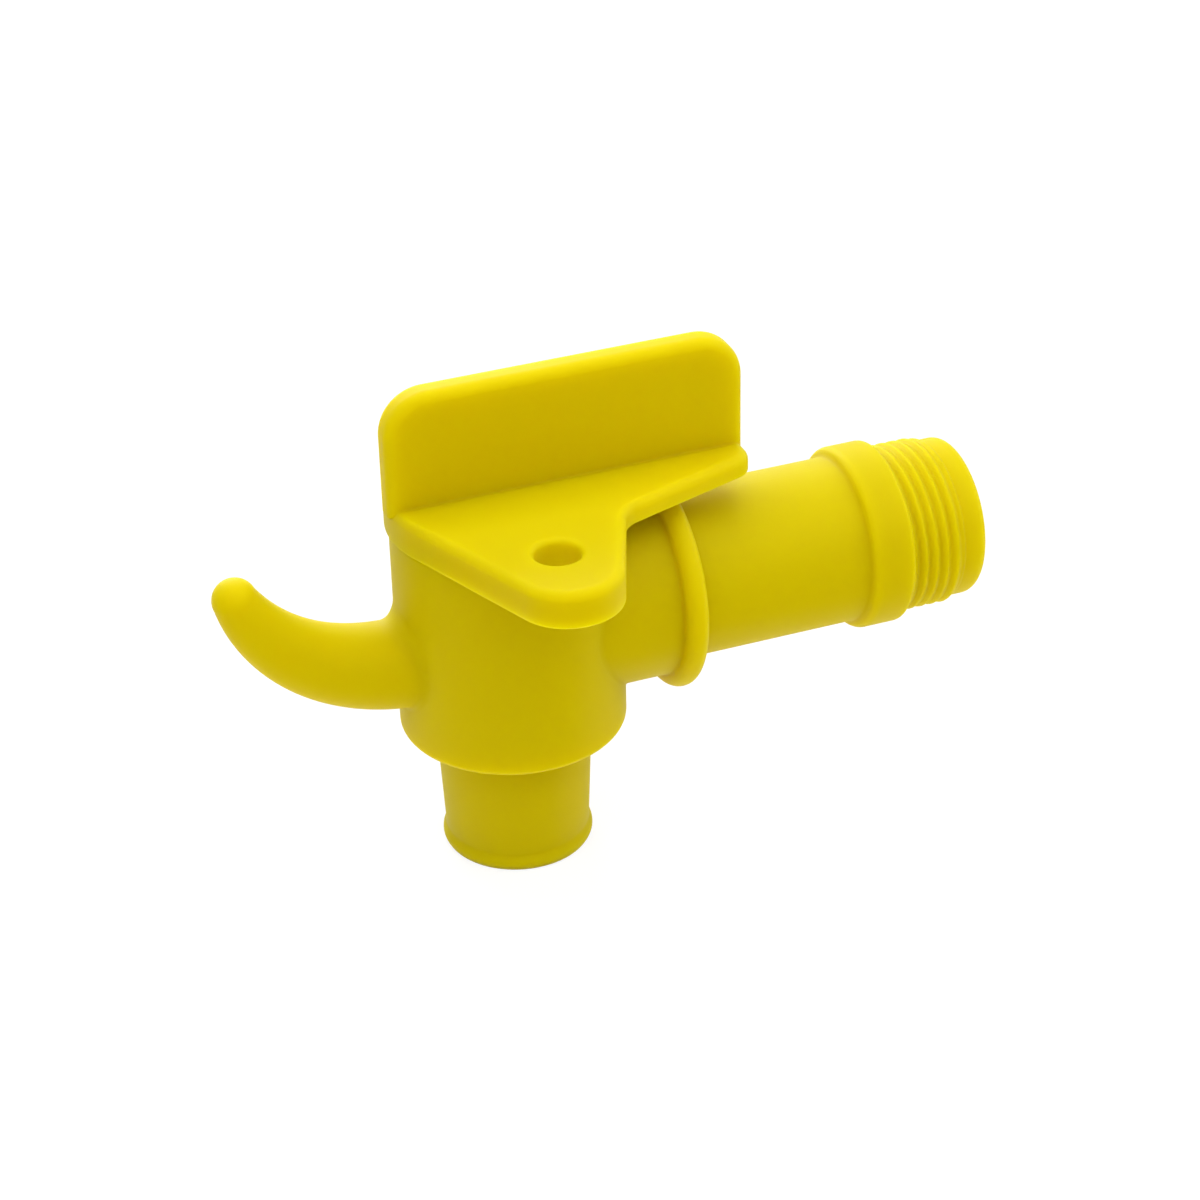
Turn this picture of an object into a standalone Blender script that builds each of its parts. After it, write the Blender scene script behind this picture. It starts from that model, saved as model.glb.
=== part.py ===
"""Drum tap: a moulded plug valve for a 3/4 inch bung, with a bail hook and a lockable handle.

The origin is on the inlet's axis, at the collar's shoulder where the tap stops against
the drum. +X points into the drum, and +Z is up, along the axis that the key turns on.
"""
import math

import bmesh
import bpy
from mathutils import Vector

MM = 0.001
TURN = 2 * math.pi

# Mesh fineness
ROUND_STEPS = 56
HOOK_POINTS = 18
HOOK_TIP_POINTS = 5
ARC_STEPS = 3
OUTLINE_STEP = math.radians(9)
WELD = 0.01 * MM
OVERCUT = 2 * MM
FLAT_ANGLE = math.radians(0.2)
SMOOTH_ANGLE = math.radians(35)
CORNER_ANGLE = math.radians(60)

# Clearances between the body and what turns in it
SEAT_GAP = 0.3 * MM
PLUG_GAP = 0.35 * MM

# Barrel, about the key's axis; heights are from the inlet's axis
BARREL_TO_SHOULDER = 61.3 * MM
BARREL_R = 17.4 * MM
BARREL_TOP = 16.0 * MM
BARREL_BOTTOM = -18.8 * MM
BARREL_EDGE_R = 0.6 * MM
BARREL_FOOT_EDGE_R = 1.1 * MM
BORE_R = 14.2 * MM
BORE_FLOOR = -15.8 * MM

# Spout, hanging from the barrel, with a bead that holds a hose
SPOUT_ROOT_R = 12.05 * MM
SPOUT_TIP_R = 11.05 * MM
SPOUT_BOTTOM = -40.3 * MM
SPOUT_BORE_R = 8.9 * MM
SPOUT_FILLET_R = 0.8 * MM
BEAD_R = 11.7 * MM
BEAD_HEIGHT = 2.7 * MM
BEAD_EDGE_R = 1.3 * MM

# Inlet, along X from the barrel: neck, disc, pipe, collar and threaded spigot
NECK_R = 14.75 * MM
DISC_R = 17.05 * MM
DISC_WIDTH = 3.5 * MM
DISC_EDGE_R = 1.7 * MM
DISC_FROM_BARREL = 24.35 * MM
PIPE_R = 13.0 * MM
PIPE_BORE_R = 9.75 * MM
COLLAR_R = 14.4 * MM
COLLAR_WIDTH = 7.3 * MM
COLLAR_SLOPE = 0.7 * MM
COLLAR_EDGE_R = 0.8 * MM
COLLAR_FILLET_R = 0.6 * MM
THREAD_R = 13.22 * MM
THREAD_LENGTH = 9.2 * MM
LEAD_R = 12.5 * MM
LEAD_LENGTH = 4.0 * MM
LEAD_EDGE_R = 1.6 * MM

# Bail hook, in the plane y = 0, from the barrel away from the inlet.
# Its centre line is one cubic curve, and its radius falls from root to tip.
HOOK_DROP = 5.1 * MM
HOOK_START = 8.0 * MM
HOOK_ROOT = 15.0 * MM
HOOK_ROOT_PULL = 30.15 * MM
HOOK_TIP_PULL = (38.5 * MM, 3.45 * MM)
HOOK_TIP = (41.9 * MM, 11.6 * MM)
HOOK_ROOT_R = 7.0 * MM
HOOK_TIP_R = 3.4 * MM
HOOK_TAPER = 1.25
HOOK_FILLET_R = 2.4 * MM
HOOK_CROWDING = 1.3

# Key: plug, cap plate with its arm and padlock lug, and the upright wing
PLUG_END_EDGE_R = 0.6 * MM
CHAMBER_R = 10.9 * MM
CHAMBER_TOP = 9.9 * MM
UPPER_CORE_R = 8.4 * MM
UPPER_CORE_TOP = 17.6 * MM
WINDOW_R = 9.0 * MM
SNAP_BEAD_HEIGHT = 0.6 * MM
SNAP_BEAD_WIDTH = 2.0 * MM
SNAP_BEAD_FROM_FLOOR = 3.4 * MM
CAP_R = 18.0 * MM
PLATE_TOP = 22.0 * MM
PLATE_EDGE_R = 1.5 * MM
PLATE_FOOT_EDGE_R = 0.5 * MM
SKIRT_DRAFT = 0.05 * MM
ARM_UNDERSIDE = 18.7 * MM
ARM_END = 37.2 * MM
ARM_CORNER_R = 3.6 * MM
ARM_CORNER_Y = 3.9 * MM
LUG_REACH = 26.3 * MM
LUG_TIP_R = 8.2 * MM
LOCK_HOLE_R = 3.45 * MM
LOCK_HOLE_Y = 22.3 * MM
LOCK_HOLE_EDGE_R = 0.8 * MM
WING_LEFT = -18.5 * MM
WING_RIGHT = 37.5 * MM
WING_TOP = 40.0 * MM
WING_THICKNESS = 4.8 * MM
WING_CORNER_R = 7.0 * MM
WING_EDGE_R = 1.6 * MM
WING_FILLET_R = 0.5 * MM
WING_FILLET_INSET = 2.2 * MM
WING_FILLET_DEPTH = 0.6 * MM
FILLET_LAP = 0.03 * MM

# Stem seal, an O-ring in a groove of the plug
SEAL_SECTION_R = 1.0 * MM
SEAL_BELOW_RIM = 3.0 * MM
GROOVE_DEPTH = 2.25 * MM

POLYETHYLENE = (0.80, 0.66, 0.01, 1.0)
POLYETHYLENE_ROUGHNESS = 0.38
RUBBER = (0.02, 0.02, 0.022, 1.0)
RUBBER_ROUGHNESS = 0.6

BARREL_X = -BARREL_TO_SHOULDER
PLUG_R = BORE_R - PLUG_GAP
PLUG_BOTTOM = BORE_FLOOR + SEAT_GAP
CAP_UNDERSIDE = BARREL_TOP + SEAT_GAP
SNAP_BEAD_Z = BORE_FLOOR + SNAP_BEAD_FROM_FLOOR
SEAL_HEIGHT = BARREL_TOP - SEAL_BELOW_RIM


def clear_scene():
    for obj in list(bpy.data.objects):
        bpy.data.objects.remove(obj, do_unlink=True)


def collection(name):
    made = bpy.data.collections.new(name)
    bpy.context.scene.collection.children.link(made)
    return made


def plastic(name, colour, roughness):
    material = bpy.data.materials.new(name)
    material.use_nodes = True
    shader = material.node_tree.nodes["Principled BSDF"]
    shader.inputs["Base Color"].default_value = colour
    shader.inputs["Roughness"].default_value = roughness
    shader.inputs["Metallic"].default_value = 0.0
    return material


def rounded(corners, steps=ARC_STEPS):
    """A line through (u, v, radius) corners, each turned into an arc of its radius."""
    points = []
    for index, (u, v, radius) in enumerate(corners):
        here = Vector((u, v))
        if radius == 0:
            points.append(here)
            continue
        before = (Vector(corners[index - 1][:2]) - here).normalized()
        after = (Vector(corners[(index + 1) % len(corners)][:2]) - here).normalized()
        half = before.angle(after) / 2
        centre = here + (before + after).normalized() * radius / math.sin(half)
        reach = radius / math.tan(half)
        start = (here + before * reach - centre).normalized()
        end = (here + after * reach - centre).normalized()
        points.extend(centre + start.slerp(end, step / steps) * radius for step in range(steps + 1))
    return points


def wrapped(circles):
    """The outline of a band pulled round (x, y, radius) circles, listed anticlockwise."""
    count = len(circles)
    leaving = []
    for index, (x, y, radius) in enumerate(circles):
        next_x, next_y, next_radius = circles[(index + 1) % count]
        along = Vector((next_x - x, next_y - y))
        lean = (radius - next_radius) / along.length
        along.normalize()
        side = Vector((along.y, -along.x))
        normal = along * lean + side * math.sqrt(1 - lean * lean)
        leaving.append(math.atan2(normal.y, normal.x))
    points = []
    for index, (x, y, radius) in enumerate(circles):
        start = leaving[index - 1]
        sweep = (leaving[index] - start) % TURN
        steps = max(1, round(sweep / OUTLINE_STEP))
        for step in range(steps + 1):
            angle = start + sweep * step / steps
            points.append(Vector((x + radius * math.cos(angle), y + radius * math.sin(angle))))
    return points


def in_workshop(obj):
    """Put a shape that is only a step of the work, or a cutter, among the cutters."""
    obj.hide_render = True
    obj.display_type = "WIRE"
    WORKSHOP.objects.link(obj)
    return obj


def as_mesh(obj):
    """The object as a plain welded mesh: its curve or modifiers are made real."""
    bpy.context.view_layer.update()
    depsgraph = bpy.context.evaluated_depsgraph_get()
    mesh = bpy.data.meshes.new_from_object(obj.evaluated_get(depsgraph))
    work = bmesh.new()
    work.from_mesh(mesh)
    bmesh.ops.remove_doubles(work, verts=work.verts, dist=WELD)
    bmesh.ops.dissolve_limit(work, angle_limit=FLAT_ANGLE, verts=work.verts, edges=work.edges)
    work.to_mesh(mesh)
    work.free()
    name = obj.name
    placed = obj.matrix_world.copy()
    bpy.data.objects.remove(obj, do_unlink=True)
    plain = bpy.data.objects.new(name, mesh)
    plain.matrix_world = placed
    return in_workshop(plain)


def turned(name, profile, along_x=False, steps=ROUND_STEPS):
    """A solid turned from (radius, height) points that run down its outer side."""
    mesh = bpy.data.meshes.new(name)
    mesh.from_pydata(
        [(point[0], 0, point[1]) for point in profile],
        [(index, index + 1) for index in range(len(profile) - 1)],
        [],
    )
    obj = in_workshop(bpy.data.objects.new(name, mesh))
    screw = obj.modifiers.new("turn", "SCREW")
    screw.steps = screw.render_steps = steps
    screw.use_merge_vertices = True
    screw.merge_threshold = WELD
    obj.location.x = BARREL_X
    if along_x:
        obj.rotation_euler.y = math.pi / 2
    return as_mesh(obj)


def plate(name, outline, low, high, upright=False):
    """A flat solid with a filled outline, between two levels across its plane."""
    curve = bpy.data.curves.new(name, "CURVE")
    curve.dimensions = "2D"
    curve.fill_mode = "BOTH"
    curve.extrude = (high - low) / 2
    spline = curve.splines.new("POLY")
    spline.points.add(len(outline) - 1)
    for point, place in zip(spline.points, outline):
        point.co = (place[0], place[1], 0, 1)
    spline.use_cyclic_u = True
    obj = in_workshop(bpy.data.objects.new(name, curve))
    middle = (high + low) / 2
    if upright:
        obj.rotation_euler.x = math.pi / 2
        obj.location = (BARREL_X, -middle, 0)
    else:
        obj.location = (BARREL_X, 0, middle)
    return as_mesh(obj)


def combine(base, other, operation):
    """Join another solid to the base, or cut it away, and remove it."""
    boolean = base.modifiers.new(operation.lower(), "BOOLEAN")
    boolean.operation = operation
    boolean.solver = "EXACT"
    boolean.object = other
    result = as_mesh(base)
    bpy.data.objects.remove(other, do_unlink=True)
    return result


def join(base, *others):
    for other in others:
        base = combine(base, other, "UNION")
    return base


def cut(base, *others):
    for other in others:
        base = combine(base, other, "DIFFERENCE")
    return base


def bevel_levels(obj, widths):
    """Round the edges that lie level at each of the given heights, to its own width."""
    widest = max(widths.values())
    work = bmesh.new()
    work.from_mesh(obj.data)
    weight = work.edges.layers.float.new("bevel_weight_edge")
    for edge in work.edges:
        heights = [(obj.matrix_world @ vert.co).z for vert in edge.verts]
        sharp = len(edge.link_faces) == 2 and edge.calc_face_angle() > CORNER_ANGLE
        for level, width in widths.items():
            if sharp and max(abs(height - level) for height in heights) < WELD:
                edge[weight] = width / widest
    work.to_mesh(obj.data)
    work.free()
    bevel = obj.modifiers.new("round", "BEVEL")
    bevel.limit_method = "WEIGHT"
    bevel.width = widest
    bevel.segments = 3
    return as_mesh(obj)


def finish(obj, material):
    """Name the piece's home and finish: its collection, its material and smooth shading."""
    WORKSHOP.objects.unlink(obj)
    TAP.objects.link(obj)
    obj.hide_render = False
    obj.display_type = "TEXTURED"
    obj.data.materials.append(material)
    obj.data.shade_smooth()
    obj.data.set_sharp_from_angle(angle=SMOOTH_ANGLE)
    return obj


def barrel_and_spout():
    bead_top = SPOUT_BOTTOM + BEAD_HEIGHT
    corners = [
        (0, BARREL_TOP, 0),
        (BARREL_R, BARREL_TOP, BARREL_EDGE_R),
        (BARREL_R, BARREL_BOTTOM, BARREL_FOOT_EDGE_R),
        (SPOUT_ROOT_R, BARREL_BOTTOM, SPOUT_FILLET_R),
        (SPOUT_TIP_R, bead_top + BEAD_EDGE_R / 2, 0),
        (BEAD_R, bead_top, 0),
        (BEAD_R, SPOUT_BOTTOM, BEAD_EDGE_R),
        (0, SPOUT_BOTTOM, 0),
    ]
    return turned("barrel_and_spout", rounded(corners))


def inlet():
    collar_start = BARREL_TO_SHOULDER - COLLAR_WIDTH
    thread_end = BARREL_TO_SHOULDER + THREAD_LENGTH
    spigot_end = thread_end + LEAD_LENGTH
    disc_near = DISC_FROM_BARREL - DISC_WIDTH / 2
    disc_far = DISC_FROM_BARREL + DISC_WIDTH / 2
    corners = [
        (0, spigot_end, 0),
        (LEAD_R, spigot_end, LEAD_EDGE_R),
        (LEAD_R, thread_end, 0),
        (THREAD_R, thread_end - (THREAD_R - LEAD_R), 0),
        (THREAD_R, BARREL_TO_SHOULDER, 0),
        (COLLAR_R, BARREL_TO_SHOULDER, COLLAR_EDGE_R),
        (COLLAR_R, collar_start + COLLAR_SLOPE, COLLAR_EDGE_R),
        (PIPE_R, collar_start, COLLAR_FILLET_R),
        (PIPE_R, disc_far, 0),
        (DISC_R, disc_far, DISC_EDGE_R),
        (DISC_R, disc_near, DISC_EDGE_R),
        (NECK_R, disc_near, 0),
        (NECK_R, 0, 0),
        (0, 0, 0),
    ]
    return turned("inlet", rounded(corners), along_x=True)


def hook_point(share):
    """A point of the hook's centre line, as far along as share says, from the barrel's axis."""
    ends = [
        Vector((-HOOK_ROOT, -HOOK_DROP)),
        Vector((-HOOK_ROOT_PULL, -HOOK_DROP)),
        Vector((-HOOK_TIP_PULL[0], HOOK_TIP_PULL[1])),
        Vector((-HOOK_TIP[0], HOOK_TIP[1])),
    ]
    rest = 1 - share
    weights = (rest ** 3, 3 * rest ** 2 * share, 3 * rest * share ** 2, share ** 3)
    return sum((end * weight for end, weight in zip(ends, weights)), Vector((0, 0)))


def hook_flare(place):
    """How much wider the hook is near the barrel, where a fillet joins them."""
    away = min(max(-place.x - BARREL_R, 0), HOOK_FILLET_R)
    return HOOK_FILLET_R - math.sqrt(HOOK_FILLET_R ** 2 - (HOOK_FILLET_R - away) ** 2)


def hook():
    stations = [(Vector((-HOOK_START, -HOOK_DROP)), HOOK_ROOT_R + HOOK_FILLET_R)]
    for step in range(HOOK_POINTS):
        share = (step / (HOOK_POINTS - 1)) ** HOOK_CROWDING
        place = hook_point(share)
        radius = HOOK_ROOT_R + (HOOK_TIP_R - HOOK_ROOT_R) * share ** HOOK_TAPER
        stations.append((place, radius + hook_flare(place)))
    tip = hook_point(1)
    heading = (tip - Vector((-HOOK_TIP_PULL[0], HOOK_TIP_PULL[1]))).normalized()
    for step in range(1, HOOK_TIP_POINTS + 1):
        angle = step / (HOOK_TIP_POINTS + 0.5) * TURN / 4
        stations.append((tip + heading * HOOK_TIP_R * math.sin(angle), HOOK_TIP_R * math.cos(angle)))

    curve = bpy.data.curves.new("hook", "CURVE")
    curve.dimensions = "3D"
    curve.bevel_depth = 1.0
    curve.bevel_resolution = 4
    curve.use_fill_caps = True
    spline = curve.splines.new("POLY")
    spline.points.add(len(stations) - 1)
    for point, (place, radius) in zip(spline.points, stations):
        point.co = (place.x, 0, place.y, 1)
        point.radius = radius
    obj = in_workshop(bpy.data.objects.new("hook", curve))
    obj.location.x = BARREL_X
    return as_mesh(obj)


def valve_bore():
    """The space that the plug fills, with its snap groove, and the way out of the spout."""
    groove_r = BORE_R + SNAP_BEAD_HEIGHT
    groove_half = SNAP_BEAD_WIDTH / 2 + SEAT_GAP
    corners = [
        (0, BARREL_TOP + OVERCUT, 0),
        (BORE_R, BARREL_TOP + OVERCUT, 0),
        (BORE_R, SNAP_BEAD_Z + groove_half + SNAP_BEAD_HEIGHT, 0),
        (groove_r, SNAP_BEAD_Z + groove_half, 0),
        (groove_r, SNAP_BEAD_Z - groove_half, 0),
        (BORE_R, SNAP_BEAD_Z - groove_half - SNAP_BEAD_HEIGHT, 0),
        (BORE_R, BORE_FLOOR, 0),
        (SPOUT_BORE_R, BORE_FLOOR, 0),
        (SPOUT_BORE_R, SPOUT_BOTTOM - OVERCUT, 0),
        (0, SPOUT_BOTTOM - OVERCUT, 0),
    ]
    return turned("valve_bore", rounded(corners))


def inlet_bore():
    far = BARREL_TO_SHOULDER + THREAD_LENGTH + LEAD_LENGTH + OVERCUT
    corners = [(0, far, 0), (PIPE_BORE_R, far, 0), (PIPE_BORE_R, 0, 0), (0, 0, 0)]
    return turned("inlet_bore", rounded(corners), along_x=True)


def tap_body():
    solid = join(barrel_and_spout(), inlet(), hook())
    body = cut(solid, valve_bore(), inlet_bore())
    body.name = "tap_body"
    return body


def handle_plate():
    """The cap over the barrel, with the padlock lug to the front and the arm over the inlet."""
    cap = (0, 0, CAP_R)
    skirt_cap = (0, 0, CAP_R - SKIRT_DRAFT)
    lug_tip = (0, -LUG_REACH, LUG_TIP_R)
    skirt_tip = (0, -LUG_REACH, LUG_TIP_R - SKIRT_DRAFT)
    corner_x = ARM_END - ARM_CORNER_R
    arm_corners = [(corner_x, -ARM_CORNER_Y, ARM_CORNER_R), (corner_x, ARM_CORNER_Y, ARM_CORNER_R)]
    lug = plate("lug", wrapped([cap, lug_tip]), ARM_UNDERSIDE, PLATE_TOP)
    arm = plate("arm", wrapped([cap] + arm_corners), ARM_UNDERSIDE, PLATE_TOP)
    upper = bevel_levels(join(lug, arm), {PLATE_TOP: PLATE_EDGE_R, ARM_UNDERSIDE: PLATE_FOOT_EDGE_R})
    middle = PLATE_TOP - PLATE_EDGE_R
    skirt = plate("skirt", wrapped([skirt_cap, skirt_tip]), CAP_UNDERSIDE, middle)
    skirt = bevel_levels(skirt, {CAP_UNDERSIDE: PLATE_FOOT_EDGE_R})
    return join(upper, skirt)


def wing():
    """The upright thumb plate, in line with the inlet."""
    foot = PLATE_TOP - PLATE_EDGE_R
    half = WING_THICKNESS / 2
    corners = [
        (WING_LEFT, foot, 0),
        (WING_RIGHT, foot, 0),
        (WING_RIGHT, WING_TOP, WING_CORNER_R),
        (WING_LEFT, WING_TOP, WING_CORNER_R),
    ]
    blade = plate("wing", rounded(corners, steps=8), -half, half, upright=True)
    rim = blade.modifiers.new("round", "BEVEL")
    rim.limit_method = "ANGLE"
    rim.angle_limit = CORNER_ANGLE
    rim.width = WING_EDGE_R
    rim.segments = 3
    return as_mesh(blade)


def wing_fillet():
    """The fillets along both sides of the wing's foot, as one bar with hollow flanks."""
    foot = PLATE_TOP - WING_FILLET_DEPTH
    reach = WING_THICKNESS / 2 + WING_FILLET_R
    hollow_r = WING_FILLET_R + FILLET_LAP
    steps = 2 * ARC_STEPS
    flank = []
    for step in range(steps + 1):
        angle = step / steps * TURN / 4
        across = reach - hollow_r * math.sin(angle)
        flank.append((across, PLATE_TOP + WING_FILLET_R - hollow_r * math.cos(angle)))
    outline = [(-reach, foot), (reach, foot)] + flank
    outline += [(-across, height) for across, height in reversed(flank)]
    low = WING_LEFT + WING_FILLET_INSET
    high = WING_RIGHT - WING_FILLET_INSET
    bar = plate("wing_fillet", outline, low, high)
    bar.rotation_euler = (math.pi / 2, 0, math.pi / 2)
    bar.location = (BARREL_X + (low + high) / 2, 0, 0)
    return bar


def plug():
    """The turning plug below the cap, with its seal groove and its snap bead."""
    groove_half = SEAL_SECTION_R + SEAT_GAP
    groove_r = PLUG_R - GROOVE_DEPTH
    bead_half = SNAP_BEAD_WIDTH / 2
    bead_r = PLUG_R + SNAP_BEAD_HEIGHT
    corners = [
        (0, PLATE_TOP - PLATE_EDGE_R, 0),
        (PLUG_R, PLATE_TOP - PLATE_EDGE_R, 0),
        (PLUG_R, SEAL_HEIGHT + groove_half, 0),
        (groove_r, SEAL_HEIGHT + groove_half, 0),
        (groove_r, SEAL_HEIGHT - groove_half, 0),
        (PLUG_R, SEAL_HEIGHT - groove_half, 0),
        (PLUG_R, SNAP_BEAD_Z + bead_half, 0),
        (bead_r, SNAP_BEAD_Z + bead_half - SNAP_BEAD_HEIGHT, 0),
        (bead_r, SNAP_BEAD_Z - bead_half + SNAP_BEAD_HEIGHT, 0),
        (PLUG_R, SNAP_BEAD_Z - bead_half, 0),
        (PLUG_R, PLUG_BOTTOM, PLUG_END_EDGE_R),
        (0, PLUG_BOTTOM, 0),
    ]
    return turned("plug", rounded(corners))


def plug_core():
    """The stepped space inside the plug, open at the bottom."""
    corners = [
        (0, UPPER_CORE_TOP, 0),
        (UPPER_CORE_R, UPPER_CORE_TOP, 0),
        (UPPER_CORE_R, CHAMBER_TOP, 0),
        (CHAMBER_R, CHAMBER_TOP, 0),
        (CHAMBER_R, PLUG_BOTTOM - OVERCUT, 0),
        (0, PLUG_BOTTOM - OVERCUT, 0),
    ]
    return turned("plug_core", rounded(corners))


def window():
    """The port in the plug's wall, in line with the inlet while the tap is open."""
    far = PLUG_R + OVERCUT
    corners = [(0, far, 0), (WINDOW_R, far, 0), (WINDOW_R, 0, 0), (0, 0, 0)]
    return turned("window", rounded(corners), along_x=True)


def lock_hole():
    """The padlock hole's cutter, flared where its rims are rounded."""
    rim_r = LOCK_HOLE_R + LOCK_HOLE_EDGE_R
    top_in = PLATE_TOP - LOCK_HOLE_EDGE_R
    flare = [step / ARC_STEPS * TURN / 4 for step in range(ARC_STEPS + 1)]
    upper = [
        (rim_r - LOCK_HOLE_EDGE_R * math.sin(angle), top_in + LOCK_HOLE_EDGE_R * math.cos(angle))
        for angle in flare
    ]
    lower = [(radius, PLATE_TOP + CAP_UNDERSIDE - height) for radius, height in reversed(upper)]
    profile = [(0, PLATE_TOP + OVERCUT), (rim_r, PLATE_TOP + OVERCUT)] + upper + lower
    profile += [(rim_r, CAP_UNDERSIDE - OVERCUT), (0, CAP_UNDERSIDE - OVERCUT)]
    cutter = turned("lock_hole", profile, steps=32)
    cutter.location.y = -LOCK_HOLE_Y
    return cutter


def key():
    solid = join(handle_plate(), wing(), wing_fillet(), plug())
    made = cut(solid, plug_core(), window(), lock_hole())
    made.name = "key"
    return made


def stem_seal():
    bpy.ops.mesh.primitive_torus_add(
        major_radius=PLUG_R - GROOVE_DEPTH + SEAT_GAP + SEAL_SECTION_R,
        minor_radius=SEAL_SECTION_R,
        major_segments=48,
        minor_segments=10,
        location=(BARREL_X, 0, SEAL_HEIGHT),
    )
    ring = bpy.context.object
    ring.name = "stem_seal"
    for home in list(ring.users_collection):
        home.objects.unlink(ring)
    return in_workshop(ring)


clear_scene()
TAP = collection("drum_tap")
WORKSHOP = collection("cutters")
yellow = plastic("yellow_polyethylene", POLYETHYLENE, POLYETHYLENE_ROUGHNESS)
black = plastic("black_rubber", RUBBER, RUBBER_ROUGHNESS)
finish(tap_body(), yellow)
turning_key = finish(key(), yellow)
seal = finish(stem_seal(), black)
bpy.context.view_layer.update()
seal.parent = turning_key
seal.matrix_parent_inverse = turning_key.matrix_world.inverted()
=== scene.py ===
"""Drum tap: the finished look of its moulded body, its turning key and its stem seal."""

import math

import bmesh
import bpy
import numpy as np
from bpy.props import FloatProperty, FloatVectorProperty, IntProperty, PointerProperty
from mathutils import Matrix, Vector


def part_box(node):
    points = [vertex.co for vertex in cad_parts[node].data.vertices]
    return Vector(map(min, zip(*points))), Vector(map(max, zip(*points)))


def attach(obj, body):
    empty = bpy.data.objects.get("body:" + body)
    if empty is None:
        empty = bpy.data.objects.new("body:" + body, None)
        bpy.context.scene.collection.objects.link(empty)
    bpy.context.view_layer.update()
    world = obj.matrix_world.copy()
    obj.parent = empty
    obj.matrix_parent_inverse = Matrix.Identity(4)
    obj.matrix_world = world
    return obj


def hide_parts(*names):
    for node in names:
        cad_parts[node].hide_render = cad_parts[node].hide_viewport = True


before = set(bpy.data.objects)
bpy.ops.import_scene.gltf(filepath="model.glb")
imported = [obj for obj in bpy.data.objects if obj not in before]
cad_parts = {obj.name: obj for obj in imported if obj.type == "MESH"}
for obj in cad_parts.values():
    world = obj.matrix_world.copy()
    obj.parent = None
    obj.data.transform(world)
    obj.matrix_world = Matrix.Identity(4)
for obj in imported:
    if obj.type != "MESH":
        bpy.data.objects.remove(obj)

bl_info = {
    "name": "Drum Tap",
    "version": (1, 0, 0),
    "blender": (4, 5, 0),
    "location": "3D View > Sidebar > Drum Tap",
    "description": "Moulded body, turning key and stem seal of a drum tap",
    "category": "Object",
}

MM = 0.001
TURN = 2 * math.pi
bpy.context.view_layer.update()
BODY_LOW, BODY_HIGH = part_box("tap_body")
KEY_LOW, KEY_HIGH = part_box("key")
SEAL_LOW, SEAL_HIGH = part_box("stem_seal")
KEY_AXIS = (SEAL_LOW.x + SEAL_HIGH.x) / 2
SEAL_HEIGHT = (SEAL_LOW.z + SEAL_HIGH.z) / 2
SEAL_SECTION = 1.0 * MM
SEAL_RING = (SEAL_HIGH.x - SEAL_LOW.x) / 2 - SEAL_SECTION


def length(name, description, default):
    """A size of the tap, in metres."""
    return FloatProperty(
        name=name, description=description, default=default, min=0.0, subtype="DISTANCE", unit="LENGTH"
    )


def level(name, description, default):
    """A height or a place along an axis, in metres."""
    return FloatProperty(
        name=name, description=description, default=default, subtype="DISTANCE", unit="LENGTH"
    )


def count(name, description, default):
    """A number of things."""
    return IntProperty(name=name, description=description, default=default, min=1000)


def share(name, description, default):
    """A part of a whole, from 0 to 1."""
    return FloatProperty(
        name=name, description=description, default=default, min=0.0, max=1.0, subtype="FACTOR"
    )


def colour(name, description, default):
    """A linear colour."""
    return FloatVectorProperty(
        name=name, description=description, default=default, size=3, min=0.0, max=1.0, subtype="COLOR"
    )


def strength(name, description, default):
    """A strength of light: 1 is white."""
    return FloatProperty(name=name, description=description, default=default, min=0.0)


def power(name, description, default):
    """The power of a lamp, in watts."""
    return FloatProperty(name=name, description=description, default=default, min=0.0, unit="POWER")


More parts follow.
